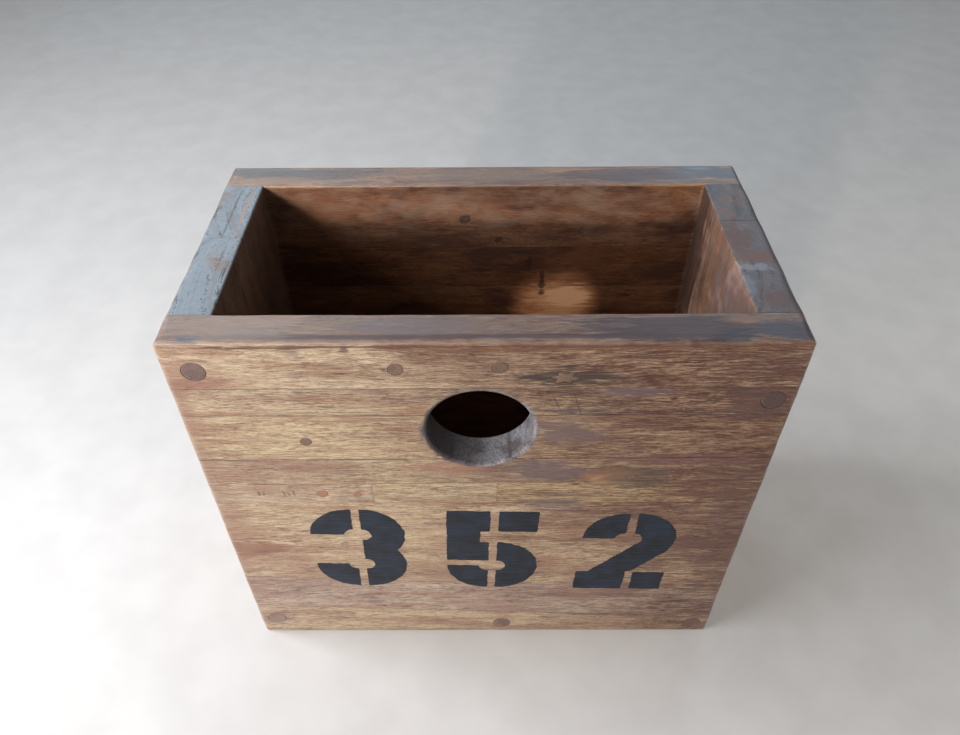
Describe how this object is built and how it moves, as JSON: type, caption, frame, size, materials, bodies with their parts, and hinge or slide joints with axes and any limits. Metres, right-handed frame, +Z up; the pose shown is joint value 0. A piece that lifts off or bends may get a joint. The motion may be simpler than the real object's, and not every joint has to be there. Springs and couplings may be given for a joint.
{
  "type": "storage box",
  "caption": "Open-topped upright wooden storage box glued up from reclaimed strips, with a round finger hole and a stencilled number on the front.",
  "frame": {"origin": "middle of the base's underside, on the surface that the box stands on", "axes": "+Z up; +X to the right along the width as seen from the front; the front panel with the finger hole faces -Y"},
  "size_m": [0.285, 0.1501, 0.25],
  "materials": {
    "light_strip": "clear-lacquered reclaimed hardwood, light golden brown",
    "mid_strip": "clear-lacquered reclaimed hardwood, mid brown",
    "red_strip": "clear-lacquered reclaimed hardwood, reddish brown",
    "dark_strip": "clear-lacquered reclaimed hardwood, dark brown",
    "side_board": "clear-lacquered reclaimed hardwood, grey-brown with end grain on top",
    "base_board": "reclaimed hardwood, sanded",
    "plug": "wooden plug, sanded flush and lacquered",
    "peg": "dark wooden peg in an old nail hole",
    "knot_filler": "tinted wood filler, sanded flush",
    "zinc_screw": "yellow zinc-plated steel",
    "stencil_paint": "matt blue-black stencil paint, worn"
  },
  "bodies": {
    "root": {"front_strip_1": "mid_strip", "front_strip_2": "mid_strip", "front_strip_3": "mid_strip", "front_strip_4": "red_strip", "front_strip_5_left": "light_strip", "front_strip_5_middle": "light_strip", "front_strip_5_right": "mid_strip", "front_strip_6": "light_strip", "front_strip_7": "red_strip", "front_strip_8": "light_strip", "back_strip_1": "dark_strip", "back_strip_2": "dark_strip", "back_strip_3": "dark_strip", "back_strip_4": "dark_strip", "back_strip_5": "dark_strip", "back_strip_6": "dark_strip", "left_board_front": "side_board", "left_board_rear": "side_board", "right_board_front": "side_board", "right_board_rear": "side_board", "base_board_front": "base_board", "base_board_rear": "base_board", "front_screw_plugs": "plug", "back_screw_plugs": "plug", "side_screw_plugs": "plug", "panel_screws": "zinc_screw", "base_screws": "zinc_screw", "front_nail_pegs": "peg", "back_nail_pegs": "peg", "knot_fillers": "knot_filler", "stencil_numerals": "stencil_paint"}
  },
  "joints": []
}
